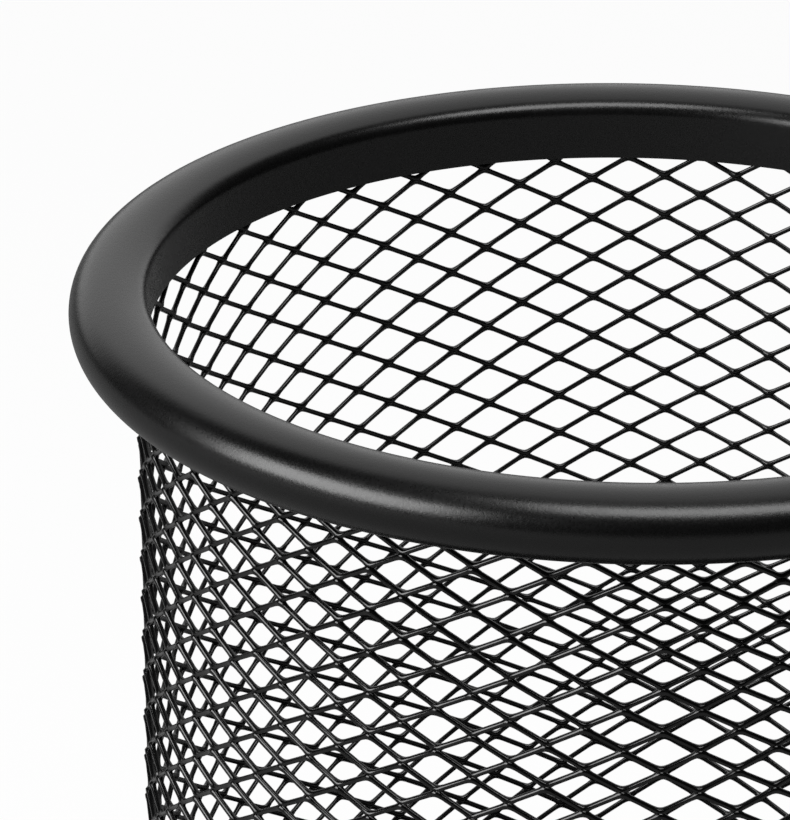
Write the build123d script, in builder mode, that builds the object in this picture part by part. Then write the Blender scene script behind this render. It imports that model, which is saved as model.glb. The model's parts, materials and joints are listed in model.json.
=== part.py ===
import os
from math import atan2, cos, floor, pi, radians, sin, tan

from build123d import *

# Sizes in millimetres and angles in degrees. The desk is the plane z = 0 and the cup's axis is Z.

# Mouth, and the fits between pieces
mouth_radius = 40.3  # inside of the rim's skirt
mouth_edge_height = 99.5  # desk to the sharp fold round the mouth
wall_lean = 1.3  # slope of the mesh from upright: the cup narrows towards its base
clearance = 0.05  # between pieces that are crimped together
overrun = 2.0  # how far a cut runs past the wall that it opens

# Top rim: one strip of sheet, folded at the mouth and rolled outwards over the mesh
rim_sheet = 0.4
rim_width = 6.6  # inside of the skirt to the outside of the bead
rim_bead_radius = 2.92
rim_bead_drop = 2.33  # fold to the middle of the rolled bead
rim_dome_angle = 16.0  # from the bead's top to where the domed top runs into it
rim_curl_angle = 12.0  # from the bead's bottom to where the underside leaves it
rim_lip_drop = 4.9  # fold to the lip that closes on the mesh
rim_fold_radius = 1.4
rim_skirt_height = 4.7

# Mesh wall: expanded sheet, rolled into a slight cone of flat strips one half diamond wide
diamonds_around = 41
diamond_pitch = 3.66  # height of one diamond, bond to bond
first_row_height = 4.75  # desk to the middle of the lowest diamonds
mesh_turn = -2.2  # turn of the first column of diamonds from +X
mesh_thickness = 0.6
mesh_tuck = 1.2  # fold to the mesh's top edge, inside the rolled rim
mesh_selvage = 1.0  # least plain edge above the highest diamonds
strand_width = 0.7

# Base pan and base ring: the ring holds the mesh against the pan's flange
pan_sheet = 0.5
pan_flange_height = 5.5
pan_corner_radius = 1.2
ring_sheet = 0.4
ring_height = 6.0
ring_bead_width = 2.4  # how far the ring stands out from the mesh
ring_corner_radius = 1.6
ring_lip_width = 4.0  # how far the ring turns in under the pan

# Foot pads, stuck under the pan
pad_count = 4
pad_radius = 4.5
pad_thickness = 1.2
pad_inset = 1.55  # edge of the ring's lip to the pad's edge
pad_edge_radius = 0.3

# Where the pieces meet
rim_outer_radius = mouth_radius + rim_width
skirt_end_height = mouth_edge_height - rim_skirt_height
lip_height = mouth_edge_height - rim_lip_drop
mesh_top = mouth_edge_height - mesh_tuck
pan_underside = pad_thickness
pan_top = pan_underside + pan_flange_height
ring_bottom = pan_underside - clearance - ring_sheet
ring_top = ring_bottom + ring_height


def inner_radius(height):
    """Radius of the mesh's inner face at a height. It meets the rim's skirt at the skirt's lower end."""
    return mouth_radius + rim_sheet + clearance + (height - skirt_end_height) * tan(radians(wall_lean))


def outer_radius(height):
    """Radius of the mesh's outer face at a height."""
    return inner_radius(height) + mesh_thickness


ring_radius = outer_radius(ring_top) + ring_bead_width
ring_lip_radius = inner_radius(pan_underside) - ring_lip_width
pad_circle_radius = ring_lip_radius - pad_inset - pad_radius


def bead_point(angle, side):
    """A point of the rim's bead, at an angle from its top (side 1) or from its bottom (side -1)."""
    across = rim_outer_radius - rim_bead_radius + rim_bead_radius * sin(radians(angle))
    up = mouth_edge_height - rim_bead_drop + side * rim_bead_radius * cos(radians(angle))
    return (across, up)


def round_point(radius, angle):
    """A point in plan at a radius and an angle from +X."""
    return (radius * cos(radians(angle)), radius * sin(radians(angle)))


os.makedirs("parts", exist_ok=True)

# Top rim: skirt, fold, domed top, bead and curled underside, closed on the mesh by its lip
fold = (mouth_radius, mouth_edge_height)
skirt_end = (mouth_radius, skirt_end_height)
dome_end = bead_point(rim_dome_angle, 1)
dome_direction = (-cos(radians(rim_dome_angle)), sin(radians(rim_dome_angle)))
bead_side = (rim_outer_radius, mouth_edge_height - rim_bead_drop)
curl_start = bead_point(rim_curl_angle, -1)
curl_direction = (-cos(radians(rim_curl_angle)), -sin(radians(rim_curl_angle)))
lip = (outer_radius(lip_height) + clearance, lip_height)
with BuildPart() as top_rim:
    with BuildSketch(Plane.XZ) as rim_section:
        with BuildLine() as rim_strip:
            Line(skirt_end, fold)
            TangentArc(dome_end, fold, tangent=dome_direction)
            ThreePointArc(dome_end, bead_side, curl_start)
            TangentArc(curl_start, lip, tangent=curl_direction)
            fillet(rim_strip.vertices().sort_by_distance(fold)[0], radius=rim_fold_radius)
            offset(amount=rim_sheet, side=Side.LEFT)
        make_face()
    revolve(axis=Axis.Z)
top_rim.part.label = "top_rim"
export_step(top_rim.part, "parts/top_rim.step")

# Base pan: a pressed disc with its edge turned up inside the mesh
with BuildPart() as base_pan:
    with BuildSketch(Plane.XZ):
        with BuildLine():
            FilletPolyline(
                (0, pan_underside),
                (inner_radius(pan_underside) - clearance, pan_underside),
                (inner_radius(pan_top) - clearance, pan_top),
                radius=pan_corner_radius,
            )
            offset(amount=pan_sheet, side=Side.LEFT)
        make_face()
    revolve(axis=Axis.Z)
base_pan.part.label = "base_pan"
export_step(base_pan.part, "parts/base_pan.step")

# Base ring: a strip turned in under the pan, up outside the mesh and back against it
with BuildPart() as base_ring:
    with BuildSketch(Plane.XZ):
        with BuildLine():
            FilletPolyline(
                (ring_lip_radius, ring_bottom),
                (ring_radius, ring_bottom),
                (ring_radius, ring_top),
                (outer_radius(ring_top) + clearance, ring_top),
                radius=ring_corner_radius,
            )
            offset(amount=ring_sheet, side=Side.LEFT)
        make_face()
    revolve(axis=Axis.Z)
base_ring.part.label = "base_ring"
export_step(base_ring.part, "parts/base_ring.step")

# Foot pads: soft discs under the pan, one node each
for number in range(pad_count):
    angle = (number + 1 / 2) * 360 / pad_count
    with BuildPart() as foot_pad:
        with BuildSketch():
            with Locations(round_point(pad_circle_radius, angle)):
                Circle(pad_radius)
        extrude(amount=pad_thickness)
        fillet(foot_pad.faces().sort_by(Axis.Z)[0].edges(), radius=pad_edge_radius)
    foot_pad.part.label = f"foot_pad_{number + 1}"
    export_step(foot_pad.part, f"parts/foot_pad_{number + 1}.step")

# Mesh wall: one column of diamonds, two flat strips wide, then as many columns as go round
half_step = 180 / diamonds_around
flat_share = cos(radians(half_step / 2))  # a flat strip's middle to the bends at its sides


def half_length(height):
    """Half the length of a diamond at a height, along the middle of the mesh."""
    return pi * (inner_radius(height) + mesh_thickness / 2) / diamonds_around


def opening(height):
    """Corners of the diamond opening at a height, from its middle: what the strands round it leave."""
    strand_slope = atan2(diamond_pitch, 2 * half_length(height))
    across = half_length(height) - strand_width / 2 / sin(strand_slope)
    up = diamond_pitch / 2 - strand_width / 2 / cos(strand_slope)
    return [(-across, 0), (0, -up), (across, 0), (0, up)]


highest_row = mesh_top - mesh_selvage - opening(mesh_top)[-1][1]
row_count = floor((highest_row - first_row_height) / (diamond_pitch / 2)) + 1
row_heights = [first_row_height + row * diamond_pitch / 2 for row in range(row_count)]
with BuildPart() as flat_strip:
    with BuildSketch(Plane.XZ):
        inside = [(inner_radius(height), height) for height in (mesh_top, pan_underside)]
        outside = [(outer_radius(height) * flat_share, height) for height in (pan_underside, mesh_top)]
        Polygon(*inside, *outside, align=None)
    extrude(amount=half_length(mesh_top), both=True)
    with BuildSketch(Plane.XY.offset(pan_underside)):
        spokes = [round_point(rim_outer_radius, side * half_step / 2) for side in (-1, 1)]
        Polygon((0, 0), *spokes, align=None)
    extrude(amount=mesh_top - pan_underside, mode=Mode.INTERSECT)
with BuildPart() as mesh_column:
    for side in (-1, 1):
        with Locations(Rotation(0, 0, mesh_turn + side * half_step / 2)):
            add(flat_strip.part)
    for side, heights in ((0, row_heights[::2]), (-1, row_heights[1::2]), (1, row_heights[1::2])):
        facing = round_point(1, mesh_turn + side * half_step)
        with BuildSketch(Plane((0, 0, 0), x_dir=(-facing[1], facing[0], 0), z_dir=(*facing, 0))):
            for height in heights:
                with Locations((0, height)):
                    Polygon(*opening(height), align=None)
        extrude(amount=outer_radius(mesh_top) + overrun, mode=Mode.SUBTRACT)
with BuildPart() as mesh_wall:
    with PolarLocations(0, diamonds_around):
        add(mesh_column.part, clean=False)
mesh_wall.part.label = "mesh_wall"
export_step(mesh_wall.part, "parts/mesh_wall.step", write_pcurves=False)
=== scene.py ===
import json
from math import atan2, ceil, cos, degrees, hypot, pi, radians, sin, sqrt, tan

import bmesh
import bpy
from mathutils import Matrix, Vector


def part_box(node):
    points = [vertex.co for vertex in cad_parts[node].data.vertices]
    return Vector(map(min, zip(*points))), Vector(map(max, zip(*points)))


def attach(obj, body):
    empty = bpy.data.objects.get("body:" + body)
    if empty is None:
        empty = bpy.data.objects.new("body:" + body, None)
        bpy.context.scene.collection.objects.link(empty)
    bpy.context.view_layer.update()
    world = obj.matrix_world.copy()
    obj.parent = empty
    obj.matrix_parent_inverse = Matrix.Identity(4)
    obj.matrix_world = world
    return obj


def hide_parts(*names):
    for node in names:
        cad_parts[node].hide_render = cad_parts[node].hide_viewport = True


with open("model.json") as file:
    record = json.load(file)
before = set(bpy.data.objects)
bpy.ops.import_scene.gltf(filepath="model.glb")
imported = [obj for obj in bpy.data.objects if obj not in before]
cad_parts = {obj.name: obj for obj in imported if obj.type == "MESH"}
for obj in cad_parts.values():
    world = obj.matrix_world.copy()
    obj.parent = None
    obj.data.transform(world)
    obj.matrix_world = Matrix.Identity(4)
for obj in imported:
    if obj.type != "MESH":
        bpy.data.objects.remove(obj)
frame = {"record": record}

# A black mesh pencil cup. Lengths are in metres, angles in degrees, and the desk is z = 0.
mm = 0.001
scene = bpy.context.scene
scene.view_settings.view_transform = "Standard"
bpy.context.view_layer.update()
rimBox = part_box("top_rim")
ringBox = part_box("base_ring")
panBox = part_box("base_pan")
mouth = next(mount for mount in frame["record"]["mounts"] if mount["name"] == "mouth")


# Node helpers

def addNode(tree, kind, inputs=None, **settings):
    node = tree.nodes.new(kind)
    for name, value in settings.items():
        setattr(node, name, value)
    for name, value in (inputs or {}).items():
        plug(tree, value, node.inputs[name])
    return node


def plug(tree, value, socket):  # a socket is linked, anything else is set on the socket
    if isinstance(value, bpy.types.NodeSocket):
        tree.links.new(value, socket)
    else:
        socket.default_value = value


def calc(tree, operation, *values):
    node = addNode(tree, "ShaderNodeMath", operation=operation)
    for value, socket in zip(values, node.inputs):
        plug(tree, value, socket)
    return node.outputs[0]


def vectorCalc(tree, operation, *values):
    node = addNode(tree, "ShaderNodeVectorMath", operation=operation)
    for value, socket in zip(values, node.inputs):
        plug(tree, value, socket)
    return node.outputs[0]


def vectorOf(tree, x=0.0, y=0.0, z=0.0):
    return addNode(tree, "ShaderNodeCombineXYZ", {"X": x, "Y": y, "Z": z}).outputs[0]


# Coat: fine grain and orange peel of a sprayed and baked powder, shared by all the steel

def coatGroup():
    tree = bpy.data.node_groups.new("satinPowderCoat", "ShaderNodeTree")
    face = tree.interface
    face.new_socket("Vector", in_out="INPUT", socket_type="NodeSocketVector")
    for name in ("Grain Scale", "Peel Scale", "Peel Share", "Rough Low", "Rough High"):
        face.new_socket(name, in_out="INPUT", socket_type="NodeSocketFloat")
    for name in ("Dark", "Light"):
        face.new_socket(name, in_out="INPUT", socket_type="NodeSocketColor")
    face.new_socket("Color", in_out="OUTPUT", socket_type="NodeSocketColor")
    face.new_socket("Roughness", in_out="OUTPUT", socket_type="NodeSocketFloat")
    face.new_socket("Height", in_out="OUTPUT", socket_type="NodeSocketFloat")
    given = addNode(tree, "NodeGroupInput").outputs
    grain = addNode(tree, "ShaderNodeTexNoise", {
        "Vector": given["Vector"], "Scale": given["Grain Scale"], "Detail": 2.0, "Roughness": 0.6})
    peel = addNode(tree, "ShaderNodeTexNoise", {
        "Vector": given["Vector"], "Scale": given["Peel Scale"], "Detail": 1.0, "Roughness": 0.5})
    cloud = addNode(tree, "ShaderNodeTexNoise", {
        "Vector": given["Vector"], "Scale": calc(tree, "MULTIPLY", given["Peel Scale"], 0.06), "Detail": 3.0})
    speck = calc(tree, "MULTIPLY", grain.outputs["Fac"], cloud.outputs["Fac"])
    color = addNode(tree, "ShaderNodeMix", data_type="RGBA")
    plug(tree, calc(tree, "MULTIPLY", speck, 2.0), color.inputs[0])
    plug(tree, given["Dark"], color.inputs[6])
    plug(tree, given["Light"], color.inputs[7])
    rough = addNode(tree, "ShaderNodeMapRange", {
        "Value": calc(tree, "ADD", calc(tree, "MULTIPLY", grain.outputs["Fac"], 0.5),
                      calc(tree, "MULTIPLY", cloud.outputs["Fac"], 0.5)),
        "From Min": 0.3, "From Max": 0.7, "To Min": given["Rough Low"], "To Max": given["Rough High"]})
    height = addNode(tree, "ShaderNodeMix", {
        "Factor": given["Peel Share"], "A": grain.outputs["Fac"], "B": peel.outputs["Fac"]})
    addNode(tree, "NodeGroupOutput", {
        "Color": color.outputs[2], "Roughness": rough.outputs[0], "Height": height.outputs[0]})
    return tree


coat = coatGroup()


def coatMaterial(name, look):
    material = bpy.data.materials.new(name)
    material.use_nodes = True
    tree = material.node_tree
    tree.nodes.clear()
    place = addNode(tree, "ShaderNodeTexCoord")
    finish = addNode(tree, "ShaderNodeGroup", node_tree=coat)
    plug(tree, place.outputs["Object"], finish.inputs["Vector"])
    for socket in ("Grain Scale", "Peel Scale", "Peel Share", "Rough Low", "Rough High", "Dark", "Light"):
        plug(tree, look[socket], finish.inputs[socket])
    relief = addNode(tree, "ShaderNodeBump", {
        "Strength": look["bumpStrength"], "Distance": look["bumpDepth"], "Height": finish.outputs["Height"]})
    shader = addNode(tree, "ShaderNodeBsdfPrincipled", {
        "Base Color": finish.outputs["Color"], "Roughness": finish.outputs["Roughness"],
        "Specular IOR Level": look["specular"], "Normal": relief.outputs["Normal"]})
    addNode(tree, "ShaderNodeOutputMaterial", {"Surface": shader.outputs["BSDF"]})
    return material


rimLook = {
    "Grain Scale": 4200.0, "Peel Scale": 1300.0, "Peel Share": 0.35, "Rough Low": 0.23, "Rough High": 0.33,
    "Dark": (0.0007, 0.0007, 0.0007, 1), "Light": (0.0020, 0.0020, 0.0021, 1),
    "bumpStrength": 0.45, "bumpDepth": 0.03 * mm, "specular": 0.5,
}
meshLook = dict(rimLook, **{
    "Grain Scale": 4200.0, "Rough Low": 0.15, "Rough High": 0.23, "bumpStrength": 0.3, "bumpDepth": 0.015 * mm})
panLook = dict(rimLook, **{"Peel Scale": 1100.0, "Rough Low": 0.40, "Rough High": 0.52})
rimCoat = coatMaterial("rimCoat", rimLook)
meshCoat = coatMaterial("meshCoat", meshLook)
panCoat = coatMaterial("panCoat", panLook)
print("coats made")


# Turned pieces: the outline of a bent strip, spun round the axis

def arc(centre, radius, start, end, step=6):  # angles in degrees, as points
    count = max(2, ceil(abs(end - start) / step))
    angles = [radians(start + (end - start) * n / count) for n in range(count + 1)]
    return [(centre[0] + radius * cos(a), centre[1] + radius * sin(a)) for a in angles]


def tangentArc(start, heading, end, count=10):  # from start, where it runs along heading, to end
    across, up = end[0] - start[0], end[1] - start[1]
    chord = hypot(across, up)
    turn = atan2(up, across) - heading
    turn = (turn + pi) % (2 * pi) - pi
    if abs(turn) < 1e-6:
        return [start, end]
    radius = chord / (2 * sin(turn))
    centre = (start[0] - radius * sin(heading), start[1] + radius * cos(heading))
    first = heading - pi / 2
    return [(centre[0] + radius * cos(first + 2 * turn * n / count),
             centre[1] + radius * sin(first + 2 * turn * n / count)) for n in range(count + 1)]


def roundedPath(corners, radius, steps=8):  # straight runs with the same round at every bend
    path = [corners[0]]
    for before, corner, after in zip(corners, corners[1:], corners[2:]):
        into = atan2(corner[1] - before[1], corner[0] - before[0])
        out = atan2(after[1] - corner[1], after[0] - corner[0])
        turn = (out - into + pi) % (2 * pi) - pi
        reach = radius * tan(abs(turn) / 2)
        start = (corner[0] - reach * cos(into), corner[1] - reach * sin(into))
        end = (corner[0] + reach * cos(out), corner[1] + reach * sin(out))
        path += tangentArc(start, into, end, steps)
    return path + [corners[-1]]


def stripSection(path, sheet):  # the path and its parallel, sheet to the path's right
    clean = [path[0]]
    for point in path[1:]:
        if hypot(point[0] - clean[-1][0], point[1] - clean[-1][1]) > 1e-7:
            clean.append(point)
    inner = []
    for n, point in enumerate(clean):
        before, after = clean[max(n - 1, 0)], clean[min(n + 1, len(clean) - 1)]
        heading = atan2(after[1] - before[1], after[0] - before[0])
        inner.append((point[0] + sheet * sin(heading), point[1] - sheet * cos(heading)))
    return clean + inner[::-1]


def spinPiece(name, section, material, nodes, around=320, centre=(0, 0)):
    shape = bmesh.new()
    rings = []
    for n in range(around):
        turn = 2 * pi * n / around
        rings.append([shape.verts.new((centre[0] + r * cos(turn), centre[1] + r * sin(turn), z))
                      for r, z in section])
    for ring, after in zip(rings, rings[1:] + rings[:1]):
        for n in range(len(section)):
            m = (n + 1) % len(section)
            shape.faces.new((ring[n], after[n], after[m], ring[m]))
    bmesh.ops.remove_doubles(shape, verts=shape.verts, dist=1e-7)
    bmesh.ops.dissolve_degenerate(shape, edges=shape.edges, dist=1e-8)
    bmesh.ops.recalc_face_normals(shape, faces=shape.faces)
    for edge in shape.edges:  # cut edges of the sheet stay crisp
        edge.smooth = edge.calc_face_angle(0) < radians(40)
    for face in shape.faces:
        face.smooth = True
    data = bpy.data.meshes.new(name)
    shape.to_mesh(data)
    shape.free()
    data.materials.append(material)
    piece = bpy.data.objects.new(name, data)
    scene.collection.objects.link(piece)
    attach(piece, "root")
    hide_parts(*nodes)
    print(name, len(data.polygons), "faces")


# Rolled rim: skirt, fold, domed top, bead and curled underside
rimShape = {
    "mouthRadius": mouth["dims"]["r_mm"] * mm, "outerRadius": rimBox[1].x, "foldHeight": 99.5 * mm, "sheet": 0.4 * mm,
    "beadRadius": 2.92 * mm, "beadDrop": 2.33 * mm, "domeAngle": 16.0, "curlAngle": 12.0,
    "lipRadius": 41.4 * mm, "lipDrop": 4.9 * mm, "foldRound": 1.4 * mm, "skirtHeight": 4.7 * mm,
}


def rimPath(s):
    mouthEdge = (s["mouthRadius"], s["foldHeight"])
    bead = (s["outerRadius"] - s["beadRadius"], s["foldHeight"] - s["beadDrop"])
    roll = arc(bead, s["beadRadius"], 90 - s["domeAngle"], s["curlAngle"] - 90, 5)
    # the dome leaves the bead smoothly and would run out at the mouth's edge
    across, up = roll[0][0] - mouthEdge[0], roll[0][1] - mouthEdge[1]
    domeRadius = hypot(across, up) / (2 * sin(radians(s["domeAngle"]) + atan2(up, across)))
    dome = (roll[0][0] - domeRadius * sin(radians(s["domeAngle"])),
            roll[0][1] - domeRadius * cos(radians(s["domeAngle"])))
    # the fold's round touches the skirt and the dome
    aside = mouthEdge[0] + s["foldRound"] - dome[0]
    fold = (mouthEdge[0] + s["foldRound"], dome[1] + sqrt((domeRadius - s["foldRound"]) ** 2 - aside ** 2))
    meet = degrees(atan2(fold[1] - dome[1], aside))
    curl = tangentArc(roll[-1], radians(180 + s["curlAngle"]), (s["lipRadius"], s["foldHeight"] - s["lipDrop"]))
    return ([(s["mouthRadius"], s["foldHeight"] - s["skirtHeight"])] + arc(fold, s["foldRound"], 180, meet)
            + arc(dome, domeRadius, meet, 90 - s["domeAngle"], 3) + roll + curl)


spinPiece("rolledRim", stripSection(rimPath(rimShape), rimShape["sheet"]), rimCoat, ["top_rim"], 384)

# Base ring: turned in under the pan, up outside the mesh and back against it
ringShape = {"sheet": 0.4 * mm, "corner": 1.6 * mm, "lipRadius": 39.4 * mm, "innerRadius": 34.63 * mm}


def ringPath(s):
    outer, low, high = ringBox[1].x, ringBox[0].z, ringBox[1].z
    return roundedPath([(s["lipRadius"], high), (outer, high), (outer, low), (s["innerRadius"], low)], s["corner"])


spinPiece("baseRing", stripSection(ringPath(ringShape), ringShape["sheet"]), rimCoat, ["base_ring"])

# Base pan: a pressed disc with its edge turned up inside the mesh
panShape = {"sheet": 0.5 * mm, "corner": 1.2 * mm, "lean": 1.3}


def panPath(s):
    outer, low, high = panBox[1].x, panBox[0].z, panBox[1].z
    foot = outer - (high - low) * tan(radians(s["lean"]))
    return roundedPath([(outer, high), (foot, low), (0, low)], s["corner"])


spinPiece("basePan", stripSection(panPath(panShape), panShape["sheet"]), panCoat, ["base_pan"])

# Foot pads: soft discs, stuck on
padShape = {"edgeRound": 0.3 * mm, "color": (0.012, 0.012, 0.013, 1), "pale": (0.030, 0.030, 0.031, 1),
            "poreScale": 3800.0, "roughness": (0.75, 0.92), "poreDepth": 0.08 * mm}


def padMaterial(look):
    material = bpy.data.materials.new("padFoam")
    material.use_nodes = True
    tree = material.node_tree
    tree.nodes.clear()
    place = addNode(tree, "ShaderNodeTexCoord")
    pores = addNode(tree, "ShaderNodeTexVoronoi", {
        "Vector": place.outputs["Object"], "Scale": look["poreScale"]})
    tone = addNode(tree, "ShaderNodeMix", data_type="RGBA")
    plug(tree, pores.outputs["Distance"], tone.inputs[0])
    plug(tree, look["color"], tone.inputs[6])
    plug(tree, look["pale"], tone.inputs[7])
    dull = addNode(tree, "ShaderNodeMapRange", {
        "Value": pores.outputs["Distance"], "To Min": look["roughness"][0], "To Max": look["roughness"][1]})
    relief = addNode(tree, "ShaderNodeBump", {
        "Strength": 0.6, "Distance": look["poreDepth"], "Height": pores.outputs["Distance"]})
    shader = addNode(tree, "ShaderNodeBsdfPrincipled", {
        "Base Color": tone.outputs[2], "Roughness": dull.outputs[0], "Normal": relief.outputs["Normal"]})
    addNode(tree, "ShaderNodeOutputMaterial", {"Surface": shader.outputs["BSDF"]})
    return material


padFoam = padMaterial(padShape)
for number in (1, 2, 3, 4):
    low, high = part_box(f"foot_pad_{number}")
    radius = (high.x - low.x) / 2
    edge = roundedPath([(radius, high.z), (radius, low.z), (0, low.z)], padShape["edgeRound"], 5)
    spinPiece(f"footPad{number}", edge + [(0, high.z)], padFoam, [f"foot_pad_{number}"], 64,
              ((low.x + high.x) / 2, (low.y + high.y) / 2))

# Mesh wall: expanded steel, a stack of zigzag ribbons that are bonded where peaks meet valleys.
# Rise, Swing, Fan and Crowd bend the rows by a millimetre or two round the cup: up and down, sideways,
# closer at the back than at the front, and up in the lower half of the back.
wallMesh = {
    "Radius": 41.01 * mm, "Diamonds": 41, "Row Rise": 3.66 * mm / 2, "First Height": 4.75 * mm,
    "Turn": -2.2, "Strand Width": 0.51 * mm, "Strand Thickness": 0.38 * mm, "Tilt": 38.0,
    "Edge Round": 0.15 * mm, "Weld Share": 0.62,
    "Lean": 1.3, "Lean From": 94.8 * mm, "Rise Sine": 0.795 * mm, "Rise Back": -0.829 * mm,
    "Rise Sine Twice": -0.714 * mm, "Rise Sides": 0.243 * mm, "Swing Back": 0.0032, "Swing Sides": 0.0096,
    "Square Share": -0.262, "Fan From": 80.0 * mm, "Fan Least": -0.85, "Fan Front": 0.906 * mm,
    "Fan Back": 0.183 * mm, "Fan Swing": 0.040, "Crowd Low": 10.0 * mm, "Crowd High": 80.0 * mm,
    "Crowd Back": 2.07 * mm, "Crowd Side": 2.21 * mm,
}
alongShares = (0.0, 0.045, 0.11, 0.21, 0.79, 0.89, 0.955)  # points of one strand, from bond to bond
riseShares = (0.0, 0.022, 0.085, 0.195, 0.805, 0.915, 0.978)
swellShares = (1.42, 1.36, 1.17, 1.0, 1.0, 1.17, 1.36)  # paint webs at the bonds
ribbonCount = 51


def pickShare(tree, index, shares):
    node = addNode(tree, "GeometryNodeIndexSwitch", data_type="FLOAT")
    while len(node.index_switch_items) < len(shares):
        node.index_switch_items.new()
    plug(tree, index, node.inputs[0])
    for share, socket in zip(shares, list(node.inputs)[1:]):
        plug(tree, share, socket)
    return node.outputs[0]


def product(tree, *values):
    result = values[0]
    for value in values[1:]:
        result = calc(tree, "MULTIPLY", result, value)
    return result


def total(tree, *values):
    result = values[0]
    for value in values[1:]:
        result = calc(tree, "ADD", result, value)
    return result


def rolledPlace(tree, given):  # a flat sheet rolled into a cone: rows rise and fall round it, columns lean with them
    spot = addNode(tree, "ShaderNodeSeparateXYZ", {
        "Vector": addNode(tree, "GeometryNodeInputPosition").outputs[0]}).outputs
    around = calc(tree, "ARCTAN2", spot["X"], calc(tree, "MULTIPLY", spot["Y"], -1.0))
    twice = calc(tree, "MULTIPLY", around, 2.0)
    sine, cosine = calc(tree, "SINE", around), calc(tree, "COSINE", around)
    sineTwice, cosineTwice = calc(tree, "SINE", twice), calc(tree, "COSINE", twice)
    back, sides = calc(tree, "SUBTRACT", 1.0, cosine), calc(tree, "SUBTRACT", 1.0, cosineTwice)
    rise = total(tree, product(tree, given["Rise Sine"], sine), product(tree, given["Rise Back"], back),
                 product(tree, given["Rise Sine Twice"], sineTwice), product(tree, given["Rise Sides"], sides))
    slope = total(tree, product(tree, given["Rise Sine"], cosine), product(tree, given["Rise Back"], sine),
                  product(tree, given["Rise Sine Twice"], cosineTwice, 2.0),
                  product(tree, given["Rise Sides"], sineTwice, 2.0))
    backShare = calc(tree, "MULTIPLY", back, 0.5)
    above = calc(tree, "MAXIMUM", calc(tree, "DIVIDE", calc(
        tree, "SUBTRACT", spot["Z"], given["Fan From"]), given["Radius"]), given["Fan Least"])
    fan = addNode(tree, "ShaderNodeMix", {"Factor": backShare, "A": given["Fan Front"], "B": given["Fan Back"]})
    reach = addNode(tree, "ShaderNodeMapRange", {
        "Value": spot["Z"], "From Min": given["Crowd Low"], "From Max": given["Crowd High"], "To Max": pi})
    swell = calc(tree, "SINE", reach.outputs[0])
    crowd = product(tree, swell, swell, backShare, calc(
        tree, "ADD", given["Crowd Back"], product(tree, given["Crowd Side"], sine)))
    square = product(tree, given["Square Share"], above, calc(tree, "DIVIDE", slope, given["Radius"]))
    angle = calc(tree, "SUBTRACT", total(
        tree, around, product(tree, given["Swing Back"], back), product(tree, given["Swing Sides"], sides),
        product(tree, given["Fan Swing"], above, backShare)), square)
    height = total(tree, spot["Z"], rise, product(tree, above, fan.outputs[0]), crowd)
    lean = product(tree, calc(tree, "SUBTRACT", height, given["Lean From"]),
                   calc(tree, "TANGENT", calc(tree, "RADIANS", given["Lean"])))
    radius = calc(tree, "ADD", calc(tree, "SQRT", total(
        tree, product(tree, spot["X"], spot["X"]), product(tree, spot["Y"], spot["Y"]))), lean)
    return vectorOf(tree, product(tree, radius, calc(tree, "SINE", angle)),
                    product(tree, radius, calc(tree, "COSINE", angle), -1.0), height)


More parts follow.
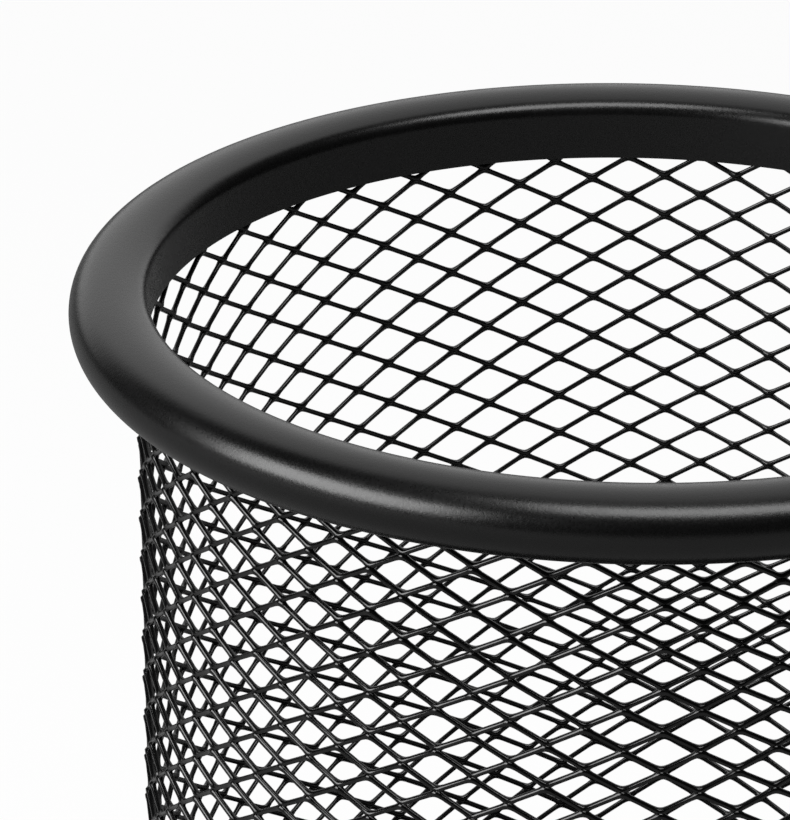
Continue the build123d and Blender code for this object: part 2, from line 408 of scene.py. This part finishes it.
def ribbonTree():
    tree = bpy.data.node_groups.new("expandedRibbons", "GeometryNodeTree")
    face = tree.interface
    for name, kind in (("Radius", "Float"), ("Diamonds", "Int"), ("Row Rise", "Float"), ("First Height", "Float"),
                       ("Turn", "Float"), ("Strand Width", "Float"), ("Strand Thickness", "Float"),
                       ("Tilt", "Float"), ("Edge Round", "Float"), ("Weld Share", "Float"), ("Lean", "Float"),
                       ("Lean From", "Float"), ("Rise Sine", "Float"), ("Rise Back", "Float"),
                       ("Rise Sine Twice", "Float"), ("Rise Sides", "Float"), ("Swing Back", "Float"),
                       ("Swing Sides", "Float"), ("Square Share", "Float"), ("Fan From", "Float"),
                       ("Fan Least", "Float"), ("Fan Front", "Float"), ("Fan Back", "Float"),
                       ("Fan Swing", "Float"), ("Crowd Low", "Float"), ("Crowd High", "Float"),
                       ("Crowd Back", "Float"), ("Crowd Side", "Float"),
                       ("First Ribbon", "Int"), ("Ribbon Count", "Int"), ("Material", "Material")):
        face.new_socket(name, in_out="INPUT", socket_type="NodeSocket" + kind)
    face.new_socket("Geometry", in_out="OUTPUT", socket_type="NodeSocketGeometry")
    given = addNode(tree, "NodeGroupInput").outputs
    points = len(alongShares)

    # one ribbon as a closed line: strand number, and the point's number on its strand
    halfStep = calc(tree, "DIVIDE", pi, given["Diamonds"])
    index = addNode(tree, "GeometryNodeInputIndex").outputs[0]
    strand = calc(tree, "FLOOR", calc(tree, "DIVIDE", calc(tree, "ADD", index, 0.5), points))
    onStrand = calc(tree, "FLOORED_MODULO", index, points)
    odd = calc(tree, "FLOORED_MODULO", strand, 2)
    along = pickShare(tree, onStrand, alongShares)
    climb = pickShare(tree, onStrand, riseShares)
    rise = calc(tree, "ADD", climb, calc(tree, "MULTIPLY", odd, calc(tree, "SUBTRACT", 1.0, calc(
        tree, "MULTIPLY", climb, 2.0))))
    angle = calc(tree, "MULTIPLY", calc(tree, "ADD", strand, along), halfStep)
    tilt = calc(tree, "RADIANS", given["Tilt"])
    weld = calc(tree, "MULTIPLY", given["Strand Width"], given["Weld Share"])
    lean = calc(tree, "MULTIPLY", weld, calc(tree, "SINE", tilt))
    stand = calc(tree, "MULTIPLY", weld, calc(tree, "COSINE", tilt))
    radius = calc(tree, "ADD", given["Radius"], calc(tree, "MULTIPLY", lean, calc(tree, "SUBTRACT", rise, 0.5)))
    height = calc(tree, "ADD", calc(tree, "MULTIPLY", stand, 0.5), calc(
        tree, "MULTIPLY", rise, calc(tree, "SUBTRACT", given["Row Rise"], stand)))
    place = vectorOf(tree, calc(tree, "MULTIPLY", radius, calc(tree, "COSINE", angle)),
                     calc(tree, "MULTIPLY", radius, calc(tree, "SINE", angle)), height)
    circle = addNode(tree, "GeometryNodeCurvePrimitiveCircle", {
        "Resolution": calc(tree, "MULTIPLY", given["Diamonds"], 2 * points)})
    line = addNode(tree, "GeometryNodeSetPosition", {"Geometry": circle.outputs["Curve"], "Position": place})

    # the strip's broad face looks outwards and up, square to the strand
    spot = addNode(tree, "ShaderNodeSeparateXYZ", {"Vector": addNode(tree, "GeometryNodeInputPosition").outputs[0]})
    outward = vectorCalc(tree, "NORMALIZE", vectorOf(tree, spot.outputs["X"], spot.outputs["Y"]))
    upright = vectorCalc(tree, "SUBTRACT", vectorOf(tree, z=calc(tree, "COSINE", tilt)), vectorCalc(
        tree, "MULTIPLY", outward, vectorOf(tree, *[calc(tree, "SINE", tilt)] * 3)))
    facing = vectorCalc(tree, "NORMALIZE", vectorCalc(
        tree, "CROSS_PRODUCT", addNode(tree, "GeometryNodeInputTangent").outputs[0], upright))
    turned = addNode(tree, "GeometryNodeSetCurveNormal", {
        "Curve": line.outputs["Geometry"], "Normal": facing}, mode="FREE")
    strip = addNode(tree, "GeometryNodeCurvePrimitiveQuadrilateral", {
        "Width": given["Strand Thickness"], "Height": given["Strand Width"]})
    eased = addNode(tree, "GeometryNodeFilletCurve", {
        "Curve": strip.outputs["Curve"], "Radius": given["Edge Round"]}, mode="POLY")
    ribbon = addNode(tree, "GeometryNodeCurveToMesh", {
        "Curve": turned.outputs["Curve"], "Profile Curve": eased.outputs["Curve"],
        "Scale": pickShare(tree, onStrand, swellShares)})
    smooth = addNode(tree, "GeometryNodeSetShadeSmooth", {"Geometry": ribbon.outputs["Mesh"]})

    # the stack: every second ribbon is turned half a diamond
    row = calc(tree, "ADD", given["First Ribbon"], index)
    even = calc(tree, "SUBTRACT", 1.0, calc(tree, "FLOORED_MODULO", row, 2))
    level = calc(tree, "ADD", given["First Height"], calc(tree, "MULTIPLY", row, given["Row Rise"]))
    swing = calc(tree, "ADD", calc(tree, "RADIANS", given["Turn"]), calc(tree, "MULTIPLY", even, halfStep))
    rows = addNode(tree, "GeometryNodePoints", {
        "Count": given["Ribbon Count"], "Position": vectorOf(tree, z=level)})
    stack = addNode(tree, "GeometryNodeInstanceOnPoints", {
        "Points": rows.outputs[0], "Instance": smooth.outputs["Geometry"], "Rotation": vectorOf(tree, z=swing)})
    whole = addNode(tree, "GeometryNodeRealizeInstances", {"Geometry": stack.outputs["Instances"]})
    rolled = addNode(tree, "GeometryNodeSetPosition", {
        "Geometry": whole.outputs["Geometry"], "Position": rolledPlace(tree, given)})
    painted = addNode(tree, "GeometryNodeSetMaterial", {
        "Geometry": rolled.outputs["Geometry"], "Material": given["Material"]})
    addNode(tree, "NodeGroupOutput", {"Geometry": painted.outputs["Geometry"]})
    return tree


def growPiece(name, tree, values, nodes):
    piece = bpy.data.objects.new(name, bpy.data.meshes.new(name))
    scene.collection.objects.link(piece)
    grow = piece.modifiers.new("grow", "NODES")
    grow.node_group = tree
    for item in tree.interface.items_tree:
        if item.in_out == "INPUT":
            grow[item.identifier] = values[item.name]
    grown = bpy.data.meshes.new_from_object(piece.evaluated_get(bpy.context.evaluated_depsgraph_get()))
    piece.modifiers.clear()
    piece.data = grown
    grown.materials.clear()
    grown.materials.append(values["Material"])
    grown.polygons.foreach_set("material_index", [0] * len(grown.polygons))
    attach(piece, "root")
    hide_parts(*nodes)
    print(name, len(grown.polygons), "faces")


ribbons = ribbonTree()
third = ribbonCount // 3
for name, first in (("meshWallLower", 0), ("meshWallMiddle", third), ("meshWallUpper", 2 * third)):
    growPiece(name, ribbons, dict(wallMesh, **{
        "First Ribbon": first, "Ribbon Count": third, "Material": meshCoat}), ["mesh_wall"])


# Stage: a white floor that keeps a soft shadow
floorLook = {"radius": 12.0, "bounce": (0.28, 0.28, 0.28, 1), "color": (0.86, 0.86, 0.86, 1), "whiteShare": 0.90}


def makeFloor(look):
    material = bpy.data.materials.new("studioFloor")
    material.use_nodes = True
    tree = material.node_tree
    tree.nodes.clear()
    seen = addNode(tree, "ShaderNodeLightPath").outputs["Is Camera Ray"]
    tone = addNode(tree, "ShaderNodeMix", data_type="RGBA")
    plug(tree, seen, tone.inputs[0])
    plug(tree, look["bounce"], tone.inputs[6])
    plug(tree, look["color"], tone.inputs[7])
    paint = addNode(tree, "ShaderNodeBsdfDiffuse", {"Color": tone.outputs[2]})
    glow = addNode(tree, "ShaderNodeEmission", {"Color": (1, 1, 1, 1), "Strength": 1.0})
    mix = addNode(tree, "ShaderNodeMixShader")
    plug(tree, calc(tree, "MULTIPLY", seen, look["whiteShare"]), mix.inputs[0])
    plug(tree, paint.outputs[0], mix.inputs[1])
    plug(tree, glow.outputs[0], mix.inputs[2])
    addNode(tree, "ShaderNodeOutputMaterial", {"Surface": mix.outputs[0]})
    data = bpy.data.meshes.new("studioFloor")
    reach = look["radius"]
    data.from_pydata([(-reach, -reach, 0), (reach, -reach, 0), (reach, reach, 0), (-reach, reach, 0)], [],
                     [(0, 1, 2, 3)])
    data.materials.append(material)
    floor = bpy.data.objects.new("studioFloor", data)
    scene.collection.objects.link(floor)


makeFloor(floorLook)

# Light: a pale backdrop behind the cup, a strip overhead and a soft box on the left
worldLook = {"dark": 0.03, "glow": 1.4, "steps": ((0.0, 0.75), (0.30, 0.60), (0.70, 0.55), (0.85, 0.50), (0.95, 0.32)),
             "sideEdge": 0.55, "sideFull": 0.92}


def makeWorld(look):
    world = bpy.data.worlds.new("studio")
    scene.world = world
    world.use_nodes = True
    tree = world.node_tree
    tree.nodes.clear()
    place = addNode(tree, "ShaderNodeTexCoord").outputs["Generated"]
    spot = addNode(tree, "ShaderNodeSeparateXYZ", {"Vector": place}).outputs
    level = addNode(tree, "ShaderNodeValToRGB", {"Fac": spot["Z"]})
    steps = level.color_ramp.elements
    while len(steps) < len(look["steps"]):
        steps.new(1.0)
    for step, (height, shade) in zip(steps, look["steps"]):
        step.position, step.color = height, (shade, shade, shade, 1)
    heading = vectorCalc(tree, "NORMALIZE", vectorOf(tree, spot["X"], spot["Y"]))
    behind = addNode(tree, "ShaderNodeMapRange", {
        "Value": addNode(tree, "ShaderNodeSeparateXYZ", {"Vector": heading}).outputs["Y"],
        "From Min": look["sideEdge"], "From Max": look["sideFull"]}, interpolation_type="SMOOTHSTEP")
    glow = addNode(tree, "ShaderNodeMix", {
        "Factor": behind.outputs[0], "A": look["dark"],
        "B": calc(tree, "MULTIPLY", level.outputs["Color"], look["glow"])})
    seen = addNode(tree, "ShaderNodeLightPath").outputs["Is Camera Ray"]
    strength = addNode(tree, "ShaderNodeMix", {"Factor": seen, "A": glow.outputs[0], "B": 1.0})
    back = addNode(tree, "ShaderNodeBackground", {
        "Color": (1, 1, 1, 1), "Strength": strength.outputs[0]})
    addNode(tree, "ShaderNodeOutputWorld", {"Surface": back.outputs[0]})


makeWorld(worldLook)
lamps = {
    "overheadStrip": {"at": (0.24, -0.37, 1.20), "aim": (0.24, -0.37, 0.0), "size": (0.92, 0.56), "watts": 9.6},
    "leftSoftbox": {"at": (-0.975, -0.52, 0.56), "aim": (0, 0, 0.09), "size": (1.05, 0.62), "watts": 16.0},
}


def makeLamp(name, look):
    data = bpy.data.lights.new(name, "AREA")
    data.shape = "RECTANGLE"
    data.size, data.size_y = look["size"]
    data.energy = look["watts"]
    lamp = bpy.data.objects.new(name, data)
    scene.collection.objects.link(lamp)
    lamp.location = look["at"]
    lamp.rotation_euler = (Vector(look["aim"]) - lamp.location).to_track_quat("-Z", "Y").to_euler()


for name, look in lamps.items():
    makeLamp(name, look)
print("stage and light set")

# Camera: fitted to the rim and the mesh crossings
cameraLook = {"back": 815.02 * mm, "aboveFold": 340.65 * mm, "down": 23.3672, "turn": 1.3819, "roll": 0.715,
              "focalPixels": 10628.9, "pictureHeight": 820.0, "sensor": 36.0}


def makeCamera(look):
    data = bpy.data.cameras.new("camera")
    data.sensor_width = look["sensor"]
    data.lens = look["sensor"] * look["focalPixels"] / look["pictureHeight"]
    data.clip_end = 100.0
    camera = bpy.data.objects.new("camera", data)
    scene.collection.objects.link(camera)
    camera.location = (0, -look["back"], rimShape["foldHeight"] + look["aboveFold"])
    aimed = Matrix.Rotation(radians(look["turn"]), 3, "Z") @ Matrix.Rotation(radians(90 - look["down"]), 3, "X")
    camera.rotation_euler = (aimed @ Matrix.Rotation(radians(look["roll"]), 3, "Z")).to_euler()
    scene.camera = camera


makeCamera(cameraLook)
print("camera set")
